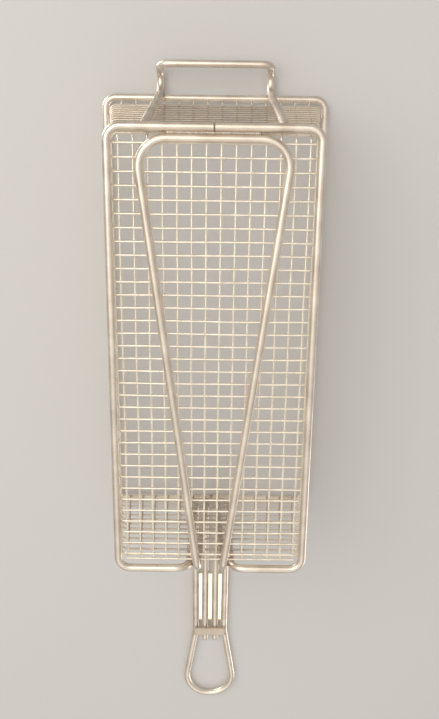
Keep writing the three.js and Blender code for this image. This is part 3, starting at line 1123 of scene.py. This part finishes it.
def backdrop(name, size, z, tone, glow, facing_up):
    """A level sheet that faces one way. Only the camera sees it, and it casts no shadow."""
    half_x, half_y = size[0] / 2, size[1] / 2
    ring = [(-half_x, -half_y, z), (half_x, -half_y, z), (half_x, half_y, z), (-half_x, half_y, z)]
    mesh = bpy.data.meshes.new(name)
    mesh.from_pydata(ring, [], [(0, 1, 2, 3) if facing_up else (3, 2, 1, 0)])
    mesh.materials.append(one_sided(name, tone, glow))
    sheet = bpy.data.objects.new(name, mesh)
    bpy.context.scene.collection.objects.link(sheet)
    sheet.visible_shadow = False
    sheet.visible_diffuse = False
    sheet.visible_glossy = False


def soft_light(name, at, size, power):
    """A square soft box that points at the origin, in the middle of the whole footprint."""
    data = bpy.data.lights.new(name, "AREA")
    data.shape = "SQUARE"
    data.size = size
    data.energy = power
    data.color = LIGHT_TONE
    light = bpy.data.objects.new(name, data)
    bpy.context.scene.collection.objects.link(light)
    light.location = at
    light.rotation_euler = (-Vector(at)).to_track_quat("-Z", "Y").to_euler()


def studio_world():
    """One pale tone to the camera. The metal is lit by a room of several greys instead."""
    world = bpy.data.worlds.new("studio")
    world.use_nodes = True
    bpy.context.scene.world = world
    tree = world.node_tree
    pale = tree.nodes["Background"]
    pale.inputs["Color"].default_value = FAR_TONE
    room = tree.nodes.new("ShaderNodeBackground")
    place = tree.nodes.new("ShaderNodeTexCoord")
    parts = tree.nodes.new("ShaderNodeSeparateXYZ")
    height = tree.nodes.new("ShaderNodeMapRange")
    height.inputs["From Min"].default_value = -1
    tones = tree.nodes.new("ShaderNodeValToRGB")
    for share, _ in ROOM_TONES[1:-1]:
        tones.color_ramp.elements.new(share)
    for element, (share, grey) in zip(tones.color_ramp.elements, ROOM_TONES):
        element.position = share
        element.color = (*[grey * warmth for warmth in ROOM_WARMTH], 1)
    rays = tree.nodes.new("ShaderNodeLightPath")
    choice = tree.nodes.new("ShaderNodeMixShader")
    tree.links.new(place.outputs["Generated"], parts.inputs[0])
    tree.links.new(parts.outputs["Z"], height.inputs["Value"])
    tree.links.new(height.outputs["Result"], tones.inputs["Fac"])
    tree.links.new(tones.outputs["Color"], room.inputs["Color"])
    tree.links.new(rays.outputs["Is Camera Ray"], choice.inputs[0])
    tree.links.new(room.outputs[0], choice.inputs[1])
    tree.links.new(pale.outputs[0], choice.inputs[2])
    tree.links.new(choice.outputs[0], tree.nodes["World Output"].inputs["Surface"])


def make_stage():
    """The floor under the basket, the table over its mouth, the room and the soft boxes."""
    lowest, highest = cad_bounds
    floor_z = lowest.z - FLOOR_GAP
    table_z = highest.z + TABLE_GAP
    backdrop("floor", FLOOR_SIZE, floor_z, FLOOR_TONE, FLOOR_GLOW, facing_up=True)
    backdrop("table", TABLE_SIZE, table_z, TABLE_TONE, TABLE_GLOW, facing_up=False)
    studio_world()
    for name, at, size, power in SOFT_BOXES:
        soft_light(name, at, size, power)
    bpy.context.scene.view_settings.view_transform = "Standard"


# ---- assembly ------------------------------------------------------------------------------

noise.seed_set(DENT_SEED)
make_camera()
rod_metal = rod_steel()
frame_and_handle(rod_metal)
brace_loop(rod_metal)
rim(rod_metal)
hanger_hook(rod_metal)
mesh_metal = mesh_steel()
mesh_basket(mesh_metal)
floor_end_wire(mesh_metal)
handle_fittings()
bead_metal = weld_metal()
make_beads(bead_metal)
rim_spot_welds(bead_metal)
make_stage()
